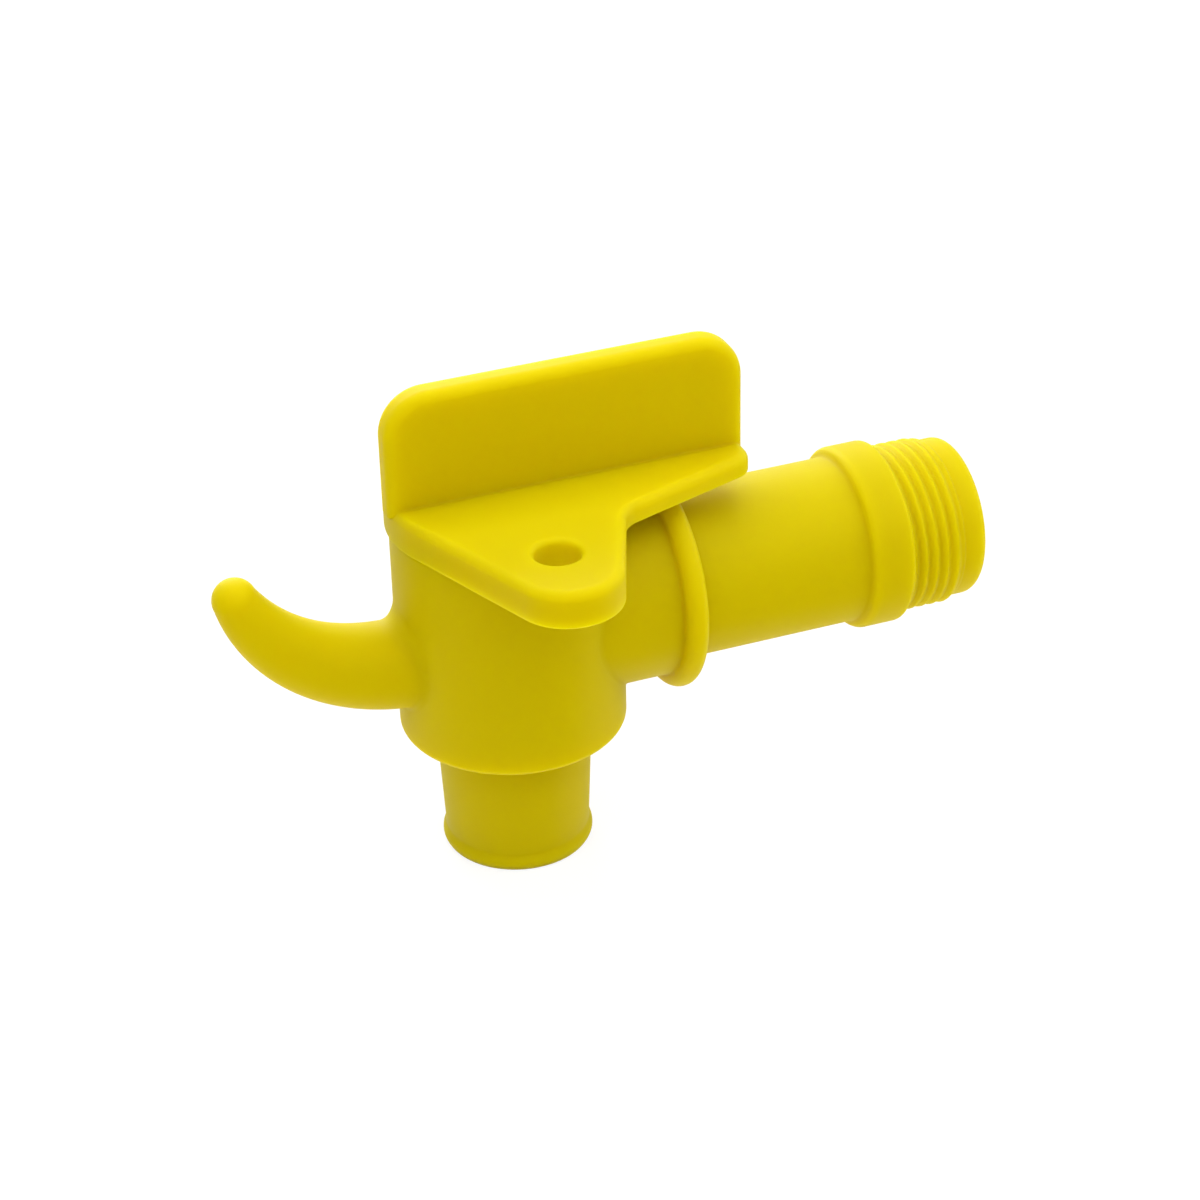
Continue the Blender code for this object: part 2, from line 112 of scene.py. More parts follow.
class TapBodySizes(bpy.types.PropertyGroup):
    barrel_radius: length("Barrel radius", "Outside of the barrel", 17.4 * MM)
    barrel_top: level("Barrel top", "Height of the barrel's rim over the inlet's axis", 16.0 * MM)
    barrel_bottom: level("Barrel bottom", "Height of the barrel's underside", -18.8 * MM)
    barrel_edge: length("Barrel edge", "Rounding of the barrel's lower edge", 1.15 * MM)
    bore_radius: length("Bore radius", "Inside of the barrel", 14.2 * MM)
    bore_floor: level("Bore floor", "Height of the floor inside the barrel", -15.8 * MM)
    spout_root_radius: length("Spout root radius", "Outside of the spout under the barrel", 12.05 * MM)
    spout_tip_radius: length("Spout tip radius", "Outside of the spout over its bead", 11.05 * MM)
    spout_bore_radius: length("Spout bore radius", "Inside of the spout", 8.9 * MM)
    bead_radius: length("Bead radius", "Outside of the bead that holds a hose", 11.7 * MM)
    bead_height: length("Bead height", "Height of the bead", 2.7 * MM)
    neck_radius: length("Neck radius", "Outside of the neck between barrel and disc", 14.75 * MM)
    disc_radius: length("Disc radius", "Outside of the round disc", 17.05 * MM)
    disc_width: length("Disc width", "Thickness of the round disc", 3.5 * MM)
    disc_place: level("Disc place", "Middle of the disc, from the barrel's axis", 24.35 * MM)
    pipe_radius: length("Pipe radius", "Outside of the pipe", 13.0 * MM)
    pipe_bore_radius: length("Pipe bore radius", "Inside of the pipe", 9.75 * MM)
    collar_radius: length("Collar radius", "Outside of the collar", 14.4 * MM)
    collar_width: length("Collar width", "Length of the collar along the pipe", 7.3 * MM)
    collar_slope: length("Collar slope", "Length of the slope at the collar's pipe side", 0.7 * MM)
    thread_radius: length("Thread radius", "Radius over the thread's crests", 13.22 * MM)
    thread_depth: length("Thread depth", "Depth of the thread, crest to root", 0.55 * MM)
    thread_pitch: length("Thread pitch", "Travel of the thread in one turn", 1.814 * MM)
    thread_length: length("Thread length", "Length of the threaded part", 9.2 * MM)
    lead_radius: length("Lead radius", "Outside of the plain end past the thread", 12.5 * MM)
    hook_root_radius: length("Hook root radius", "Radius of the bail hook at the barrel", 7.0 * MM)
    hook_tip_radius: length("Hook tip radius", "Radius of the bail hook's round tip", 3.4 * MM)
    step: length("Step", "Size of the cells that the skin is first netted in", 0.3 * MM)
    triangles: count("Triangles", "Triangles that the skin keeps", 190000)


class KeySizes(bpy.types.PropertyGroup):
    cap_radius: length("Cap radius", "Radius of the cap over the barrel", 18.0 * MM)
    plate_top: level("Plate top", "Height of the plate's upper face", 22.0 * MM)
    plate_edge: length("Plate edge", "Rounding of the plate's upper edge", 1.5 * MM)
    cap_underside: level("Cap underside", "Height of the underside of cap and lug", 16.3 * MM)
    arm_underside: level("Arm underside", "Height of the underside of the arm over the inlet", 18.7 * MM)
    arm_end: length("Arm end", "Reach of the arm from the key's axis", 37.2 * MM)
    arm_corner_radius: length("Arm corner radius", "Rounding of the arm's two corners", 3.6 * MM)
    arm_corner_place: length("Arm corner place", "Distance of each corner's centre from the middle", 3.9 * MM)
    lug_reach: length("Lug reach", "Centre of the padlock lug's tip, from the key's axis", 26.3 * MM)
    lug_tip_radius: length("Lug tip radius", "Rounding of the padlock lug's tip", 8.2 * MM)
    lock_hole_radius: length("Lock hole radius", "Radius of the padlock hole", 3.45 * MM)
    lock_hole_place: length("Lock hole place", "Centre of the padlock hole, from the key's axis", 22.3 * MM)
    wing_left: level("Wing left", "End of the wing over the hook", -18.5 * MM)
    wing_right: level("Wing right", "End of the wing over the inlet", 37.5 * MM)
    wing_top: level("Wing top", "Height of the wing's upper edge", 40.0 * MM)
    wing_thickness: length("Wing thickness", "Thickness of the wing", 4.8 * MM)
    wing_corner: length("Wing corner", "Rounding of the wing's upper corners", 7.0 * MM)
    wing_edge: length("Wing edge", "Rounding of the wing's edges", 1.6 * MM)
    wing_fillet: length("Wing fillet", "Fillet between wing and plate", 0.45 * MM)
    plug_radius: length("Plug radius", "Outside of the turning plug", 13.85 * MM)
    chamber_radius: length("Chamber radius", "Inside of the hollow plug", 10.9 * MM)
    window_radius: length("Window radius", "Radius of the port in the plug's wall", 9.0 * MM)
    step: length("Step", "Size of the cells that the skin is first netted in", 0.28 * MM)
    triangles: count("Triangles", "Triangles that the skin keeps", 170000)


class SealSizes(bpy.types.PropertyGroup):
    ring_radius: length("Ring radius", "Radius of the seal's centre line", SEAL_RING)
    section_radius: length("Section radius", "Radius of the seal's round section", SEAL_SECTION)
    height: level("Height", "Height of the seal over the inlet's axis", SEAL_HEIGHT)


class PlasticLook(bpy.types.PropertyGroup):
    yellow: colour("Yellow", "Colour of the moulded polyethylene", (0.61, 0.497, 0.0))
    warm_yellow: colour("Warm yellow", "Colour where the melt flowed last", (0.59, 0.462, 0.0))
    roughness: share("Roughness", "Roughness of the satin surface", 0.55)
    gloss: share("Gloss", "Strength of the surface's reflection", 0.13)
    gloss_tint: colour("Gloss tint", "Colour of the surface's reflection", (1.0, 0.95, 0.12))
    glow: share("Glow", "How much light passes under the surface", 1.0)
    glow_depth: length("Glow depth", "How far light passes under the surface", 7.0 * MM)
    rubber: colour("Rubber", "Colour of the stem seal", (0.018, 0.018, 0.02))


class StageLook(bpy.types.PropertyGroup):
    floor: colour("Floor", "Colour of the floor, as it lights the tap", (0.86, 0.81, 0.74))
    floor_seen: colour("Floor seen", "Part of the floor's look that takes the shadow", (0.18, 0.18, 0.18))
    floor_white: strength("Floor white", "White that the floor shows besides the part with the shadow", 0.86)
    surround: strength("Surround", "Strength of the even light from all round", 0.13)
    back: power("Back lamp", "Power of the wide lamp high behind the tap", 2.1)
    back_low: power("Low back lamp", "Power of the lamp low behind the tap", 2.6)
    front_top: power("Front top lamp", "Power of the lamp high in front", 1.1)
    front: power("Front lamp", "Power of the lamp in front, on the camera's side", 0.75)
    front_left: power("Front left lamp", "Power of the lamp in front at the left", 1.0)
    front_right: power("Front right lamp", "Power of the lamp in front at the right", 0.65)
    right: power("Right lamp", "Power of the lamp at the right", 1.25)


# Solids, each as the distance from its surface: below zero inside, above zero outside.
# x, y and z are arrays in metres, x from the key's axis, and may be broadcast.


def joined(a, b, fillet):
    """Either solid, with a fillet of that radius in the corner between them."""
    near = np.hypot(np.maximum(fillet - a, 0), np.maximum(fillet - b, 0))
    return np.maximum(fillet, np.minimum(a, b)) - near


def shared(a, b, edge):
    """What both solids hold, with the edge between them rounded to that radius."""
    near = np.hypot(np.maximum(edge + a, 0), np.maximum(edge + b, 0))
    return np.minimum(-edge, np.maximum(a, b)) + near


def carved(solid, tool, edge):
    """The solid without the tool's space, with the rim rounded to that radius."""
    return shared(solid, -tool, edge)


def soft_lower(a, b, width):
    """The lower of two values, blended where they are nearer than that width."""
    return np.minimum(a, b) - np.maximum(width - np.abs(a - b), 0) ** 2 / (4 * width)


def between(value, low, high):
    """The slab between two levels."""
    return np.maximum(low - value, value - high)


def turned(radial, along, radius, low, high, edge):
    """A cylinder between two levels of its axis, with rounded ends."""
    return shared(radial - radius, between(along, low, high), edge)


def band(x, y, start, end):
    """The outline of a band pulled round two (x, y, radius) circles."""
    (start_x, start_y, start_r), (end_x, end_y, end_r) = start, end
    span = math.hypot(end_x - start_x, end_y - start_y)
    unit_x, unit_y = (end_x - start_x) / span, (end_y - start_y) / span
    along = (x - start_x) * unit_x + (y - start_y) * unit_y
    across = np.abs((x - start_x) * unit_y - (y - start_y) * unit_x)
    lean = (start_r - end_r) / span
    upright = math.sqrt(1 - lean * lean)
    foot = along * upright - across * lean
    side = across * upright + along * lean - start_r
    near_start = np.hypot(across, along) - start_r
    near_end = np.hypot(across, along - span) - end_r
    return np.where(foot < 0, near_start, np.where(foot > upright * span, near_end, side))


# The hook's middle line, from (x, z) places, and how its radius falls along it.
HOOK_LINE = np.array([(-15.0, -5.1), (-30.15, -5.1), (-38.5, 3.45), (-41.9, 11.6)]) * MM
HOOK_TAPER = 1.25
HOOK_STARTS = 10
HOOK_ROUNDS = 3
HOOK_MOVE = 0.05
SMALLEST_RATE = 1e-6


def hook(x, y, z, sizes):
    """The bail hook: round, and thinner towards its tip, along one cubic curve in the plane y = 0.

    The nearest place on the curve is sought from a few evenly spaced ones, by Newton's method.
    """
    first, pull, tip_pull, tip = HOOK_LINE
    terms = list(zip(
        first,
        3 * (pull - first),
        3 * (first - 2 * pull + tip_pull),
        tip - 3 * tip_pull + 3 * pull - first,
    ))

    def gap(reach):
        line_x, line_z = (a + reach * (b + reach * (c + reach * d)) for a, b, c, d in terms)
        return x - line_x, z - line_z

    x, z = np.broadcast_arrays(x, z)
    best = np.zeros(x.shape)
    nearest = np.hypot(*gap(0.0))
    for reach in np.linspace(1 / HOOK_STARTS, 1, HOOK_STARTS):
        distance = np.hypot(*gap(reach))
        best = np.where(distance < nearest, reach, best)
        nearest = np.minimum(distance, nearest)
    for _ in range(HOOK_ROUNDS):
        gap_x, gap_z = gap(best)
        slope_x, slope_z = (b + best * (2 * c + best * 3 * d) for _, b, c, d in terms)
        bend_x, bend_z = (2 * c + best * 6 * d for _, _, c, d in terms)
        rate = slope_x ** 2 + slope_z ** 2 - gap_x * bend_x - gap_z * bend_z
        move = (gap_x * slope_x + gap_z * slope_z) / np.maximum(rate, SMALLEST_RATE)
        best = np.clip(best + np.clip(move, -HOOK_MOVE, HOOK_MOVE), 0, 1)
    growth = sizes.hook_tip_radius - sizes.hook_root_radius
    radius = sizes.hook_root_radius + growth * best ** HOOK_TAPER
    return np.sqrt(np.square(np.hypot(*gap(best))) + y * y) - radius


THREAD_START = 1.33 * MM
THREAD_ROOT = 1 / 6
THREAD_FLANK = 1.5
THREAD_ROUNDING = 0.35
THREAD_END_SLOPE = 0.5 * MM
LEAD_OVERLAP = 0.6 * MM
LEAD_EDGE = 0.1 * MM


def thread(radial, x, y, z, sizes, shoulder):
    """The right-hand pipe thread past the collar, with soft crests and roots, and the plain lead."""
    pitch, depth = sizes.thread_pitch, sizes.thread_depth
    turns = (x - shoulder - THREAD_START) / pitch + np.arctan2(z, -y) / TURN
    from_root = np.abs(turns - np.round(turns)) * 2
    rise = THREAD_FLANK * depth * (from_root - THREAD_ROOT)
    rise = soft_lower(rise, depth, THREAD_ROUNDING * depth)
    rise = -soft_lower(-rise, 0, THREAD_ROUNDING * depth)
    end = shoulder + sizes.thread_length
    surface = soft_lower(sizes.thread_radius - depth + rise, sizes.lead_radius + end - x, THREAD_END_SLOPE)
    lead = shared(radial - sizes.lead_radius, end - LEAD_OVERLAP - x, LEAD_EDGE)
    return np.minimum(radial - surface, lead)


# Edges and fillets of the body that aren't among its sizes.
BARREL_RIM_EDGE = 0.4 * MM
BEAD_EDGE = 1.3 * MM
DISC_EDGE = 1.7 * MM
COLLAR_EDGE = 0.8 * MM
SPIGOT_EDGE = 1.6 * MM
BORE_RIM_EDGE = 0.3 * MM
SPOUT_RIM_EDGE = 1.2 * MM
INLET_RIM_EDGE = 1.3 * MM
BEAD_FILLET = 0.5 * MM
SPOUT_FILLET = 0.6 * MM
NECK_FILLET = 0.35 * MM
DISC_FILLET = 0.5 * MM
COLLAR_FILLET = 0.6 * MM
SPIGOT_FILLET = 0.25 * MM
# The hook's fillet at the barrel is small under the hook and grows over this height to full size.
HOOK_FILLET = 1.0 * MM
HOOK_FILLET_GROWTH = 1.8
HOOK_FILLET_LOW = -3 * MM
HOOK_FILLET_SPAN = 5 * MM
# How far forms that are joined reach into each other, and how far a tool reaches past a surface.
SPOUT_OVERLAP = 2 * MM
SPOUT_LIFT = 0.5 * MM
SPIGOT_OVERLAP = 1 * MM
TOOL_REACH = 5 * MM


def body_solid(x, y, z, sizes):
    """The whole body moulding: barrel, spout, neck, disc, pipe, collar, threaded spigot and hook."""
    radial = np.hypot(x, y)
    inlet = np.hypot(y, z)
    disc_low = sizes.disc_place - sizes.disc_width / 2
    disc_high = sizes.disc_place + sizes.disc_width / 2
    shoulder = -KEY_AXIS
    spigot_end = BODY_HIGH.x - KEY_AXIS
    bottom = BODY_LOW.z

    barrel = shared(radial - sizes.barrel_radius, sizes.barrel_bottom - z, sizes.barrel_edge)
    barrel = shared(barrel, z - sizes.barrel_top, BARREL_RIM_EDGE)
    taper = (sizes.spout_root_radius - sizes.spout_tip_radius) / (sizes.barrel_bottom - bottom)
    spout_r = sizes.spout_root_radius + (z - sizes.barrel_bottom) * taper
    spout_span = between(z, bottom + SPOUT_LIFT, sizes.barrel_bottom + SPOUT_OVERLAP)
    bead = turned(radial, z, sizes.bead_radius, bottom, bottom + sizes.bead_height, BEAD_EDGE)
    spout = joined(np.maximum(radial - spout_r, spout_span), bead, BEAD_FILLET)

    neck = np.maximum(inlet - sizes.neck_radius, between(x, 0, sizes.disc_place))
    disc = turned(inlet, x, sizes.disc_radius, disc_low, disc_high, DISC_EDGE)
    pipe = np.maximum(inlet - sizes.pipe_radius, between(x, sizes.disc_place, shoulder - SPIGOT_OVERLAP))
    collar = turned(inlet, x, sizes.collar_radius, shoulder - sizes.collar_width, shoulder, COLLAR_EDGE)
    rise = sizes.collar_radius - sizes.pipe_radius
    slope = (inlet - sizes.pipe_radius) * sizes.collar_slope - (x - shoulder + sizes.collar_width) * rise
    collar = shared(collar, slope / math.hypot(rise, sizes.collar_slope), COLLAR_EDGE)
    spigot_span = between(x, shoulder - SPIGOT_OVERLAP, spigot_end)
    spigot = shared(thread(inlet, x, y, z, sizes, shoulder), spigot_span, SPIGOT_EDGE)

    solid = joined(barrel, spout, SPOUT_FILLET)
    solid = joined(solid, neck, NECK_FILLET)
    over_root = np.clip((z - HOOK_FILLET_LOW) / HOOK_FILLET_SPAN, 0, 1)
    solid = joined(solid, hook(x, y, z, sizes), (1 + HOOK_FILLET_GROWTH * over_root) * HOOK_FILLET)
    run = joined(joined(disc, pipe, DISC_FILLET), collar, COLLAR_FILLET)
    run = joined(run, spigot, SPIGOT_FILLET)
    solid = joined(solid, run, DISC_FILLET)

    bore_span = between(z, sizes.bore_floor, sizes.barrel_top + TOOL_REACH)
    solid = carved(solid, np.maximum(radial - sizes.bore_radius, bore_span), BORE_RIM_EDGE)
    outlet = np.maximum(radial - sizes.spout_bore_radius, between(z, bottom - TOOL_REACH, 0))
    solid = carved(solid, outlet, SPOUT_RIM_EDGE)
    inlet_bore = np.maximum(inlet - sizes.pipe_bore_radius, between(x, 0, spigot_end + TOOL_REACH))
    return carved(solid, inlet_bore, INLET_RIM_EDGE)


# Edges and fillets of the key that aren't among its sizes.
UNDERSIDE_EDGE = 0.3 * MM
LOCK_HOLE_EDGE = 0.8 * MM
PLUG_EDGE = 0.6 * MM
WINDOW_EDGE = 0.5 * MM
CHAMBER_EDGE = 0.4 * MM
CHAMBER_FILLET = 0.5 * MM
# The inner corner between arm and lug, and the wing's fillet, fade out where their edges end.
INNER_CORNER = 1.5 * MM
INNER_CORNER_SPAN = 4 * MM
INNER_CORNER_LEAST = 0.02
WING_FILLET_SPAN = 3 * MM
WING_FILLET_LEAST = 0.08
# The hidden plug: how deep it and the wing stand in the plate, its snap bead, seal groove and hollow.
FOOT_DEPTH = 1.5 * MM
SNAP_BEAD_HEIGHT = 3.1 * MM
SNAP_BEAD_DEPTH = 0.9 * MM
SNAP_BEAD_RADIUS = 1.5 * MM
SNAP_BEAD_FILLET = 0.4 * MM
GROOVE_DEPTH = 2.25 * MM
GROOVE_HALF = 1.3 * MM
GROOVE_EDGE = 0.15 * MM
CHAMBER_TOP = 9.9 * MM
CORE_RADIUS = 8.4 * MM
CORE_TOP = 17.6 * MM


def key_solid(x, y, z, sizes):
    """The whole key moulding: cap plate with arm and lug, wing, and the hollow plug in the barrel."""
    cap = (0, 0, sizes.cap_radius)
    corner_x = sizes.arm_end - sizes.arm_corner_radius
    corner = (corner_x, sizes.arm_corner_place, sizes.arm_corner_radius)
    lug = band(x, y, cap, (0, -sizes.lug_reach, sizes.lug_tip_radius))
    arm = band(x, np.abs(y), cap, corner)
    end = band(x, y, (corner_x, -sizes.arm_corner_place, sizes.arm_corner_radius), corner)
    near_corner = np.clip(np.minimum(x, -y) / INNER_CORNER_SPAN, INNER_CORNER_LEAST, 1)
    outline = joined(lug, np.minimum(arm, end), INNER_CORNER * near_corner)
    top = z - sizes.plate_top
    upper = shared(shared(outline, top, sizes.plate_edge), sizes.arm_underside - z, UNDERSIDE_EDGE)
    lower = shared(shared(lug, top, sizes.plate_edge), sizes.cap_underside - z, UNDERSIDE_EDGE)
    plate = np.minimum(upper, lower)

    foot = sizes.plate_top - FOOT_DEPTH
    face = shared(between(x, sizes.wing_left, sizes.wing_right), z - sizes.wing_top, sizes.wing_corner)
    wing = shared(np.maximum(face, foot - z), np.abs(y) - sizes.wing_thickness / 2, sizes.wing_edge)
    inset = np.clip(-outline / WING_FILLET_SPAN, WING_FILLET_LEAST, 1)
    solid = joined(plate, wing, sizes.wing_fillet * inset)

    radial = np.hypot(x, y)
    bottom = KEY_LOW.z
    plug = turned(radial, z, sizes.plug_radius, bottom, foot, PLUG_EDGE)
    bead_z = bottom + SNAP_BEAD_HEIGHT
    bead = np.hypot(radial - (sizes.plug_radius - SNAP_BEAD_DEPTH), z - bead_z) - SNAP_BEAD_RADIUS
    plug = joined(plug, bead, SNAP_BEAD_FILLET)
    groove = np.maximum(sizes.plug_radius - GROOVE_DEPTH - radial, np.abs(z - SEAL_HEIGHT) - GROOVE_HALF)
    plug = carved(plug, groove, GROOVE_EDGE)
    solid = np.minimum(solid, plug)
    chamber = np.maximum(radial - sizes.chamber_radius, between(z, bottom - TOOL_REACH, CHAMBER_TOP))
    upper_core = np.maximum(radial - CORE_RADIUS, between(z, 0, CORE_TOP))
    solid = carved(solid, joined(chamber, upper_core, CHAMBER_FILLET), CHAMBER_EDGE)
    port = np.maximum(np.hypot(y, z) - sizes.window_radius, -x)
    solid = carved(solid, port, WINDOW_EDGE)
    hole = np.hypot(x, y + sizes.lock_hole_place) - sizes.lock_hole_radius
    return carved(solid, hole, LOCK_HOLE_EDGE)


# Skins: meshes netted over those solids. A probe's corners feel the solid's slope round a point.

PROBE = 0.02 * MM
PROBE_CORNERS = np.array([(1, -1, -1), (-1, -1, 1), (-1, 1, -1), (1, 1, 1)]) * PROBE
LEAST_SLOPE = 0.3
LEAST_SIZE = 1e-18
LONGEST_MOVE = 0.3 * MM
SLAB = 24
ROUGH_ROUNDS = 2
THIN_ROUNDS = 3


def settled(solid, sizes, points, rounds):
    """The points moved onto the solid's surface, and the surface's normals there."""
    for _ in range(rounds):
        normal = np.zeros_like(points)
        distance = np.zeros(len(points))
        for corner in PROBE_CORNERS:
            value = solid(*(points + corner).T, sizes)
            normal += value[:, None] * corner
            distance += value / len(PROBE_CORNERS)
        size = np.linalg.norm(normal, axis=1, keepdims=True)
        slope = np.maximum(size[:, 0] / (len(PROBE_CORNERS) * PROBE * PROBE), LEAST_SLOPE)
        normal /= np.maximum(size, LEAST_SIZE)
        move = np.clip(distance / slope, -LONGEST_MOVE, LONGEST_MOVE)
        points = points - normal * move[:, None]
    return points, normal


def netted(solid, sizes, low, high, step):
    """Vertices and faces of a net over the solid: a vertex in each cell that the surface crosses."""
    counts = np.ceil((high - low) / step).astype(int) + 1
    xs, ys, zs = (low[axis] + step * np.arange(counts[axis]) for axis in range(3))
    values = np.empty(counts, np.float32)
    for start in range(0, counts[0], SLAB):
        rows = slice(start, start + SLAB)
        values[rows] = solid(xs[rows, None, None], ys[None, :, None], zs[None, None, :], sizes)
    inside = values < 0
    halves = [slice(None, -1), slice(1, None)]
    held = sum(inside[a, b, c].astype(np.int8) for a in halves for b in halves for c in halves)
    cells = np.argwhere((held > 0) & (held < 8))
    number = np.full(held.shape, -1, np.int32)
    number[tuple(cells.T)] = np.arange(len(cells))

    units = np.eye(3, dtype=int)
    places = np.zeros((len(cells), 3))
    crossings = np.zeros(len(cells))
    for axis in range(3):
        ahead = units[axis]
        sides = [units[other] for other in range(3) if other != axis]
        for first in (0, 1):
            for second in (0, 1):
                near = cells + first * sides[0] + second * sides[1]
                a, b = values[tuple(near.T)], values[tuple((near + ahead).T)]
                hit = (a < 0) != (b < 0)
                along = np.where(hit, a / np.where(hit, a - b, 1), 0)
                places += np.where(hit[:, None], near + along[:, None] * ahead, 0)
                crossings += hit
    points = low + step * places / crossings[:, None]

    faces = []
    for axis in range(3):
        one, two = units[(axis + 1) % 3], units[(axis + 2) % 3]
        lower = [slice(None)] * 3
        upper = [slice(None)] * 3
        lower[axis], upper[axis] = slice(None, -1), slice(1, None)
        starts = np.argwhere(inside[tuple(lower)] != inside[tuple(upper)])
        round_edge = [starts - one - two, starts - two, starts, starts - one]
        quad = np.stack([number[tuple(around.T)] for around in round_edge], 1)
        outward = inside[tuple(starts.T)]
        faces.append(np.where(outward[:, None], quad, quad[:, ::-1]))
    return points, np.concatenate(faces)


def mesh_object(name, points, faces):
    """An object of those points and faces, linked to the scene."""
    mesh = bpy.data.meshes.new(name)
    mesh.vertices.add(len(points))
    mesh.vertices.foreach_set("co", np.asarray(points, np.float32).ravel())
    size = faces.shape[1]
    mesh.loops.add(faces.size)
    mesh.loops.foreach_set("vertex_index", faces.astype(np.int32).ravel())
    mesh.polygons.add(len(faces))
    mesh.polygons.foreach_set("loop_start", np.arange(0, faces.size, size, dtype=np.int32))
    mesh.update(calc_edges=True)
    made = bpy.data.objects.new(name, mesh)
    bpy.context.scene.collection.objects.link(made)
    return made


def skin(name, solid, low, high, sizes):
    """A mesh object over the solid, thinned where it is flat, with the solid's own normals."""
    shift = np.array([KEY_AXIS, 0, 0])
    step = sizes.step * 1
    margin = 2 * step
    low, high = np.array(low) - shift - margin, np.array(high) - shift + margin
    points, faces = netted(solid, sizes, low, high, step)
    points, _ = settled(solid, sizes, points, ROUGH_ROUNDS)
    rough = mesh_object(name, points, faces)
    thin = rough.modifiers.new("thin", "DECIMATE")
    thin.ratio = min(1.0, sizes.triangles / (2 * len(faces)))
    thin.use_collapse_triangulate = True
    bpy.context.view_layer.update()
    mesh = bpy.data.meshes.new_from_object(rough.evaluated_get(bpy.context.evaluated_depsgraph_get()))
    bpy.data.objects.remove(rough)
    points = np.empty(len(mesh.vertices) * 3)
    mesh.vertices.foreach_get("co", points)
    points, normals = settled(solid, sizes, points.reshape(-1, 3), THIN_ROUNDS)
    mesh.vertices.foreach_set("co", np.asarray(points + shift, np.float32).ravel())
    mesh.update()
    mesh.name = name
    mesh.shade_smooth()
    mesh.normals_split_custom_set_from_vertices(normals.tolist())
    made = bpy.data.objects.new(name, mesh)
    bpy.context.scene.collection.objects.link(made)
    return made


# Finishes


def node(tree, kind, links=None, **values):
    """A shader node with its settings, and values of or links into its sockets."""
    made = tree.nodes.new(kind)
    for name, value in values.items():
        setattr(made, name, value)
    for socket, value in (links or {}).items():
        target = made.inputs[socket]
        if isinstance(value, bpy.types.NodeSocket):
            tree.links.new(value, target)
        else:
            target.default_value = value
    return made


def object_place(tree):
    """The place on the object, in metres, which its materials are laid out by."""
    return node(tree, "ShaderNodeTexCoord").outputs["Object"]


def noise(tree, place, scale, detail, roughness=0.5):
    """Soft random values round 0.5."""
    sockets = {"Vector": place, "Scale": scale, "Detail": detail, "Roughness": roughness}
    return node(tree, "ShaderNodeTexNoise", sockets).outputs["Fac"]


def computed(tree, operation, *terms):
    """What a Math node makes of its terms."""
    return node(tree, "ShaderNodeMath", dict(enumerate(terms)), operation=operation).outputs["Value"]


def ranged(tree, value, low, high, start=0.0, end=1.0, **values):
    """The value carried from low..high to start..end, and held there."""
    sockets = {"Value": value, "From Min": low, "From Max": high, "To Min": start, "To Max": end}
    return node(tree, "ShaderNodeMapRange", sockets, **values).outputs["Result"]


def between_colours(tree, factor, first, second):
    """The first colour at 0 and the second at 1."""
    sockets = {"Factor": factor, "A": (*first, 1), "B": (*second, 1)}
    return node(tree, "ShaderNodeMix", sockets, data_type="RGBA").outputs["Result"]


def group(name, inputs, outputs):
    """A new shader node group with named sockets, and its input and output nodes."""
    tree = bpy.data.node_groups.new(name, "ShaderNodeTree")
    for kind, sockets in (("INPUT", inputs), ("OUTPUT", outputs)):
        for label, socket, *default in sockets:
            made = tree.interface.new_socket(label, in_out=kind, socket_type=socket)
            if default:
                made.default_value = default[0]
    return tree, tree.nodes.new("NodeGroupInput").outputs, tree.nodes.new("NodeGroupOutput").inputs


def moulded_grain_group():
    """The fine even grain that a blasted mould leaves, with a soft waviness under it."""
    tree, given, put = group(
        "moulded_grain",
        [
            ("Grain Scale", "NodeSocketFloat", 2600.0),
            ("Wave Scale", "NodeSocketFloat", 90.0),
            ("Wave", "NodeSocketFloat", 0.5),
        ],
        [("Height", "NodeSocketFloat"), ("Patches", "NodeSocketFloat")],
    )
    place = object_place(tree)
    grain = noise(tree, place, given["Grain Scale"], 2.0, 0.55)
    wave = noise(tree, place, given["Wave Scale"], 1.0)
    mixed = node(tree, "ShaderNodeMix", {"Factor": given["Wave"], "A": grain, "B": wave}, data_type="FLOAT")
    tree.links.new(mixed.outputs["Result"], put["Height"])
    tree.links.new(noise(tree, place, 38.0, 3.0, 0.6), put["Patches"])
    return tree


def handling_marks_group():
    """Hairline scuffs from handling: streaks in two directions, where a patchy mask lets them show."""
    tree, given, put = group(
        "handling_marks",
        [("Amount", "NodeSocketFloat", 0.5), ("Scale", "NodeSocketFloat", 160.0)],
        [("Marks", "NodeSocketFloat")],
    )
    place = object_place(tree)
    streaks = []
    for stretch, turn in (((1.0, 14.0, 9.0), (0.3, 0.2, 0.5)), ((11.0, 1.0, 8.0), (0.1, 0.6, 1.1))):
        laid = node(tree, "ShaderNodeMapping", {"Vector": place, "Rotation": turn, "Scale": stretch})
        line = noise(tree, laid.outputs["Vector"], given["Scale"], 3.0, 0.7)
        streaks.append(ranged(tree, line, 0.64, 0.76))
    patch = ranged(tree, noise(tree, place, 24.0, 2.0), 0.45, 0.65)
    shown = computed(tree, "MULTIPLY", computed(tree, "MAXIMUM", *streaks), patch)
    tree.links.new(computed(tree, "MULTIPLY", shown, given["Amount"]), put["Marks"])
    return tree


def mould_line_group():
    """The faint witness line where the mould's halves met, in the plane y = 0."""
    tree, given, put = group(
        "mould_line",
        [("Half Width", "NodeSocketFloat", 0.12 * MM)],
        [("Line", "NodeSocketFloat")],
    )
    split = node(tree, "ShaderNodeSeparateXYZ", {"Vector": object_place(tree)})
    side = computed(tree, "ABSOLUTE", split.outputs["Y"])
    line = ranged(tree, side, 0.0, given["Half Width"], 1.0, 0.0, interpolation_type="SMOOTHSTEP")
    tree.links.new(line, put["Line"])
    return tree


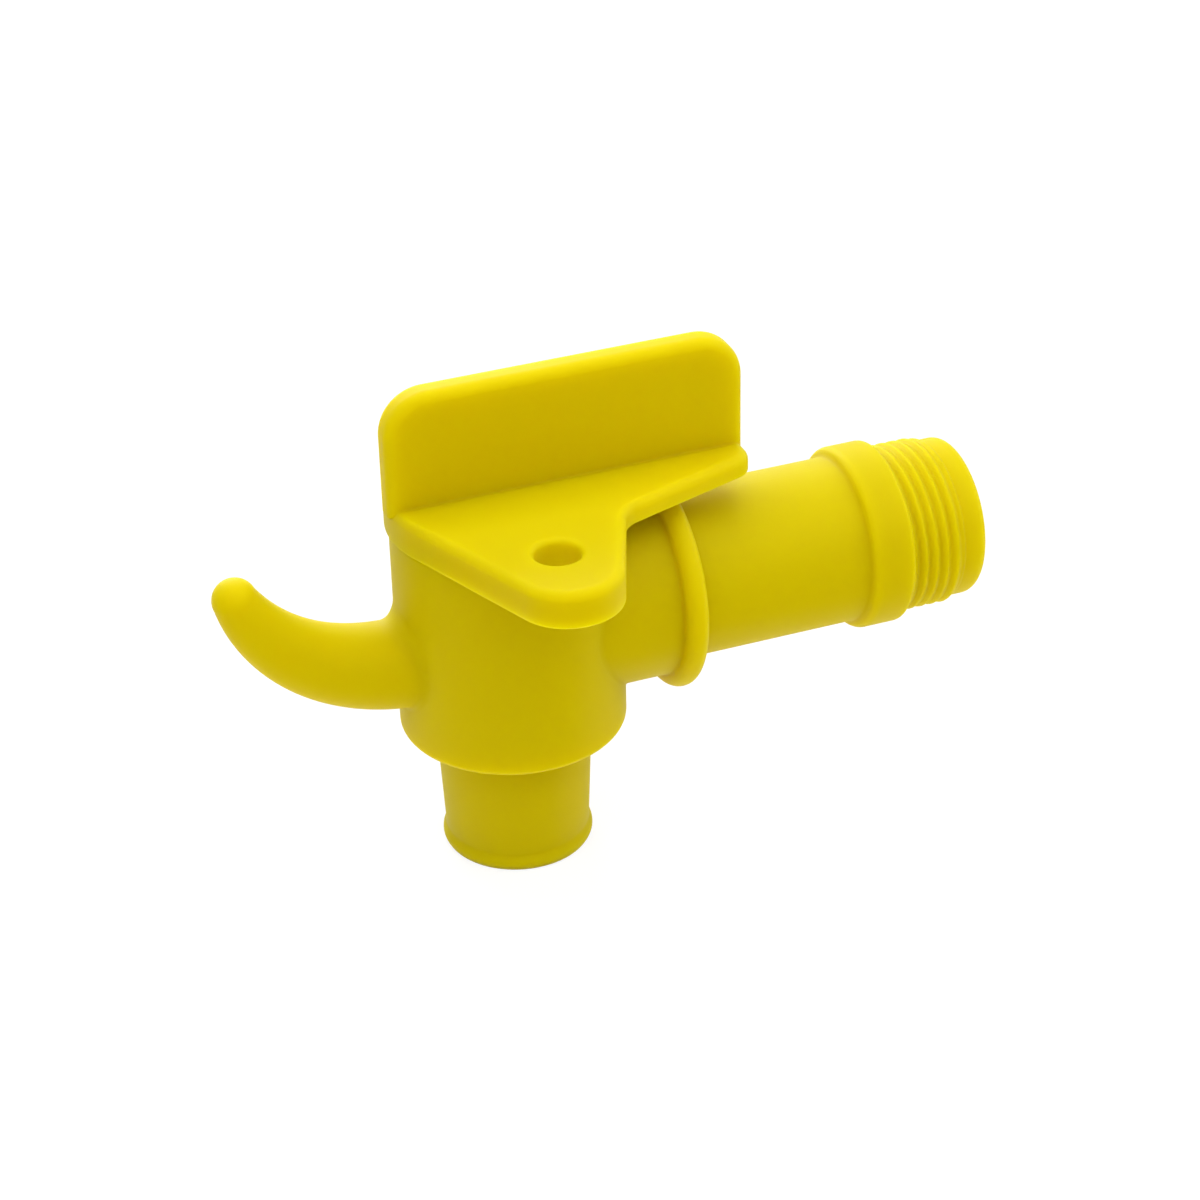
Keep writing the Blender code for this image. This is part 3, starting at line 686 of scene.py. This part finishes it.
def placed(tree, name, maker, values=None):
    """A node of the named group, which is made when it is first asked for."""
    made = tree.nodes.new("ShaderNodeGroup")
    made.node_tree = bpy.data.node_groups.get(name) or maker()
    for socket, value in (values or {}).items():
        made.inputs[socket].default_value = value
    return made.outputs


def new_material(name):
    """A material, its node tree and its Principled shader."""
    material = bpy.data.materials.new(name)
    material.use_nodes = True
    return material, material.node_tree, material.node_tree.nodes["Principled BSDF"]


def yellow_plastic(name, look, warmth, line_height):
    """Satin yellow polyethylene: light passes a little way under its surface.

    Warmth is how far the patches go to the warm yellow, and the line's height is that of the
    mould line beside the grain's.
    """
    material, tree, shader = new_material(name)
    grain = placed(tree, "moulded_grain", moulded_grain_group, {"Wave": 0.45})
    marks = placed(tree, "handling_marks", handling_marks_group, {"Amount": 0.5})["Marks"]
    line = placed(tree, "mould_line", mould_line_group)["Line"]

    drift = ranged(tree, grain["Patches"], 0.3, 0.75, 0.0, warmth)
    tint = between_colours(tree, drift, look.yellow, look.warm_yellow)
    tree.links.new(tint, shader.inputs["Base Color"])

    rough = ranged(tree, grain["Patches"], 0.3, 0.7, look.roughness - 0.04, look.roughness + 0.05)
    scuffed = computed(tree, "MULTIPLY_ADD", marks, 0.12, rough)
    tree.links.new(scuffed, shader.inputs["Roughness"])

    raised = computed(tree, "MULTIPLY_ADD", line, line_height, grain["Height"])
    scratched = computed(tree, "MULTIPLY_ADD", marks, -0.6, raised)
    bump = node(tree, "ShaderNodeBump", {"Height": scratched, "Strength": 0.5, "Distance": 0.04 * MM})
    tree.links.new(bump.outputs["Normal"], shader.inputs["Normal"])

    for socket, value in (
        ("IOR", 1.51),
        ("Specular IOR Level", look.gloss),
        ("Specular Tint", (*look.gloss_tint, 1)),
        ("Subsurface Weight", look.glow),
        ("Subsurface Radius", (1.0, 0.92, 0.1)),
        ("Subsurface Scale", look.glow_depth),
    ):
        shader.inputs[socket].default_value = value
    material.diffuse_color = (*look.yellow, 1)
    return material


def black_rubber(look):
    """Moulded rubber: dull, finely grained, and greyer in patches."""
    material, tree, shader = new_material("black_rubber")
    grain = placed(tree, "moulded_grain", moulded_grain_group, {"Grain Scale": 4200.0, "Wave": 0.2})
    marks = placed(tree, "handling_marks", handling_marks_group, {"Amount": 0.7, "Scale": 260.0})
    tint = between_colours(tree, grain["Patches"], look.rubber, [2.2 * part for part in look.rubber])
    tree.links.new(tint, shader.inputs["Base Color"])
    tree.links.new(computed(tree, "MULTIPLY_ADD", marks["Marks"], 0.2, 0.55), shader.inputs["Roughness"])
    bump = node(tree, "ShaderNodeBump", {"Height": grain["Height"], "Strength": 0.6, "Distance": 0.03 * MM})
    tree.links.new(bump.outputs["Normal"], shader.inputs["Normal"])
    return material


def dressed(piece, body, replaced, material):
    """Give a piece its finish, hang it on the empty of the body that carries it, and hide the solid it stands
    for.
    """
    piece.data.materials.clear()
    piece.data.materials.append(material)
    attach(piece, body)
    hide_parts(replaced)


class DRUMTAP_OT_body(bpy.types.Operator):
    """Make the moulded body: barrel, spout, hook, inlet and thread"""
    bl_idname = "drumtap.body"
    bl_label = "Tap Body"

    def execute(self, context):
        sizes = context.scene.drum_tap_body
        piece = skin("moulded_body", body_solid, BODY_LOW, BODY_HIGH, sizes)
        look = context.scene.drum_tap_plastic
        yellow = yellow_plastic("yellow_body", look, warmth=0.35, line_height=0.5)
        dressed(piece, "body", "tap_body", yellow)
        return {"FINISHED"}


class DRUMTAP_OT_key(bpy.types.Operator):
    """Make the turning key: cap plate, padlock lug, wing and hollow plug"""
    bl_idname = "drumtap.key"
    bl_label = "Turning Key"

    def execute(self, context):
        sizes = context.scene.drum_tap_key
        piece = skin("turning_key", key_solid, KEY_LOW, KEY_HIGH, sizes)
        look = context.scene.drum_tap_plastic
        yellow = yellow_plastic("yellow_key", look, warmth=0.3, line_height=0.0)
        dressed(piece, "turning_key", "key", yellow)
        return {"FINISHED"}


SEAL_STEPS = 160
SEAL_SECTION_STEPS = 28
WELD = 0.001 * MM


class DRUMTAP_OT_seal(bpy.types.Operator):
    """Make the rubber ring that seals the key's stem"""
    bl_idname = "drumtap.seal"
    bl_label = "Stem Seal"

    def execute(self, context):
        sizes = context.scene.drum_tap_seal
        work = bmesh.new()
        upright = Matrix.Translation((sizes.ring_radius, 0, 0)) @ Matrix.Rotation(TURN / 4, 4, "X")
        section = bmesh.ops.create_circle(
            work, cap_ends=False, segments=SEAL_SECTION_STEPS, radius=sizes.section_radius, matrix=upright
        )
        bmesh.ops.spin(
            work, geom=section["verts"] + list(work.edges), axis=(0, 0, 1), cent=(0, 0, 0),
            angle=TURN, steps=SEAL_STEPS, use_merge=True,
        )
        bmesh.ops.remove_doubles(work, verts=work.verts, dist=WELD)
        bmesh.ops.recalc_face_normals(work, faces=work.faces)
        bmesh.ops.translate(work, verts=work.verts, vec=(KEY_AXIS, 0, sizes.height))
        mesh = bpy.data.meshes.new("seal_ring")
        work.to_mesh(mesh)
        work.free()
        mesh.shade_smooth()
        piece = bpy.data.objects.new("seal_ring", mesh)
        context.scene.collection.objects.link(piece)
        rubber = black_rubber(context.scene.drum_tap_plastic)
        dressed(piece, "turning_key", "stem_seal", rubber)
        return {"FINISHED"}


def shows_white(tree):
    """1 for what the camera sees, directly, reflected or through glass, and 0 for light on the tap."""
    path = node(tree, "ShaderNodeLightPath").outputs
    either = computed(tree, "MAXIMUM", path["Is Camera Ray"], path["Is Glossy Ray"])
    return computed(tree, "MAXIMUM", either, path["Is Transmission Ray"])


def floor_paper(look):
    """Pale paper: it takes the tap's shadow, and looks white."""
    material, tree, shader = new_material("floor_paper")
    seen = shows_white(tree)
    tree.links.new(between_colours(tree, seen, look.floor, look.floor_seen), shader.inputs["Base Color"])
    shader.inputs["Roughness"].default_value = 0.9
    shader.inputs["Specular IOR Level"].default_value = 0.1
    glow = node(tree, "ShaderNodeEmission", {"Strength": computed(tree, "MULTIPLY", seen, look.floor_white)})
    both = node(tree, "ShaderNodeAddShader", {0: shader.outputs["BSDF"], 1: glow.outputs["Emission"]})
    tree.links.new(both.outputs["Shader"], tree.nodes["Material Output"].inputs["Surface"])
    return material


def studio_world(look):
    """Even white light from all round on the tap, and a white background."""
    world = bpy.data.worlds.new("studio")
    world.use_nodes = True
    tree = world.node_tree
    tree.nodes.clear()
    even = node(tree, "ShaderNodeBackground", {"Color": (1, 1, 1, 1), "Strength": look.surround})
    white = node(tree, "ShaderNodeBackground", {"Color": (1, 1, 1, 1), "Strength": 1.0})
    sockets = {0: shows_white(tree), 1: even.outputs["Background"], 2: white.outputs["Background"]}
    mixed = node(tree, "ShaderNodeMixShader", sockets)
    node(tree, "ShaderNodeOutputWorld", {"Surface": mixed.outputs["Shader"]})
    return world


def soft_lamp(name, place, size, watts):
    """A wide lamp that faces the tap's middle."""
    light = bpy.data.lights.new(name, "AREA")
    light.shape = "RECTANGLE"
    light.size, light.size_y = size
    light.energy = watts
    lamp = bpy.data.objects.new(name, light)
    lamp.location = place
    lamp.rotation_euler = (LAMP_AIM - Vector(place)).to_track_quat("-Z", "Y").to_euler()
    bpy.context.scene.collection.objects.link(lamp)


# Each lamp's place and size in metres, and the point that they all face.
LAMP_AIM = Vector((-0.04, 0, 0))
LAMPS = {
    "back": ((-0.04, 0.19, 0.622), (0.6, 0.3)),
    "back_low": ((-0.04, 0.589, 0.275), (0.4, 0.4)),
    "front_top": ((-0.04, -0.275, 0.589), (0.4, 0.4)),
    "front": ((-0.24, -0.52, 0.335), (0.4, 0.4)),
    "front_left": ((-0.457, -0.194, 0.46), (0.4, 0.4)),
    "front_right": ((0.224, -0.377, 0.46), (0.4, 0.4)),
    "right": ((0.514, -0.098, 0.325), (0.4, 0.4)),
}

# The camera's place and angles, and its focal length as a share of the picture's width.
CAMERA_PLACE = Vector((-0.19218, -0.38703, 0.24641))
CAMERA_AZIMUTH = math.radians(-20.61)
CAMERA_ELEVATION = math.radians(30.97)
CAMERA_ROLL = math.radians(-1.40)
FOCAL_SHARE = 3161 / 1200
SENSOR = 36.0
CLIP = (0.01, 20)


def photo_camera():
    """The camera where the photograph was taken from."""
    camera = bpy.data.cameras.new("camera")
    camera.sensor_width = SENSOR
    camera.lens = FOCAL_SHARE * SENSOR
    camera.clip_start, camera.clip_end = CLIP
    seen = bpy.data.objects.new("camera", camera)
    azimuth, flat = CAMERA_AZIMUTH, math.cos(CAMERA_ELEVATION)
    right = Vector((math.cos(azimuth), math.sin(azimuth), 0))
    ahead = Vector((-math.sin(azimuth) * flat, math.cos(azimuth) * flat, -math.sin(CAMERA_ELEVATION)))
    up = right.cross(ahead)
    rolled_right = right * math.cos(CAMERA_ROLL) + up * math.sin(CAMERA_ROLL)
    rolled_up = up * math.cos(CAMERA_ROLL) - right * math.sin(CAMERA_ROLL)
    turn = Matrix((rolled_right, rolled_up, -ahead)).transposed()
    seen.matrix_world = Matrix.Translation(CAMERA_PLACE) @ turn.to_4x4()
    bpy.context.scene.collection.objects.link(seen)
    bpy.context.scene.camera = seen


FLOOR_HALF = 4.0
FLOOR_CELLS = 8


class DRUMTAP_OT_stage(bpy.types.Operator):
    """Make the pale floor, the soft lamps, the surrounding light and the camera"""
    bl_idname = "drumtap.stage"
    bl_label = "Stage"

    def execute(self, context):
        look = context.scene.drum_tap_stage
        work = bmesh.new()
        bmesh.ops.create_grid(work, x_segments=FLOOR_CELLS, y_segments=FLOOR_CELLS, size=FLOOR_HALF)
        bmesh.ops.translate(work, verts=work.verts, vec=(0, 0, BODY_LOW.z))
        mesh = bpy.data.meshes.new("floor")
        work.to_mesh(mesh)
        work.free()
        floor = bpy.data.objects.new("floor", mesh)
        context.scene.collection.objects.link(floor)
        floor.data.materials.append(floor_paper(look))
        context.scene.world = studio_world(look)
        for name, (place, size) in LAMPS.items():
            soft_lamp(name, place, size, getattr(look, name))
        photo_camera()
        context.scene.view_settings.view_transform = "Standard"
        return {"FINISHED"}


class DRUMTAP_PT_panel(bpy.types.Panel):
    """The tap's pieces and stage, each with its button"""
    bl_idname = "DRUMTAP_PT_panel"
    bl_label = "Drum Tap"
    bl_space_type = "VIEW_3D"
    bl_region_type = "UI"
    bl_category = "Drum Tap"

    def draw(self, context):
        for operator in (DRUMTAP_OT_body, DRUMTAP_OT_key, DRUMTAP_OT_seal, DRUMTAP_OT_stage):
            self.layout.operator(operator.bl_idname)


CLASSES = (
    TapBodySizes, KeySizes, SealSizes, PlasticLook, StageLook,
    DRUMTAP_OT_body, DRUMTAP_OT_key, DRUMTAP_OT_seal, DRUMTAP_OT_stage, DRUMTAP_PT_panel,
)
SETTINGS = {
    "drum_tap_body": TapBodySizes,
    "drum_tap_key": KeySizes,
    "drum_tap_seal": SealSizes,
    "drum_tap_plastic": PlasticLook,
    "drum_tap_stage": StageLook,
}


def register():
    for made in CLASSES:
        bpy.utils.register_class(made)
    for name, group_class in SETTINGS.items():
        setattr(bpy.types.Scene, name, PointerProperty(type=group_class))


def unregister():
    for name in SETTINGS:
        delattr(bpy.types.Scene, name)
    for made in reversed(CLASSES):
        bpy.utils.unregister_class(made)


def main():
    register()
    bpy.ops.drumtap.body()
    bpy.ops.drumtap.key()
    bpy.ops.drumtap.seal()
    bpy.ops.drumtap.stage()


if __name__ == "__main__":
    main()
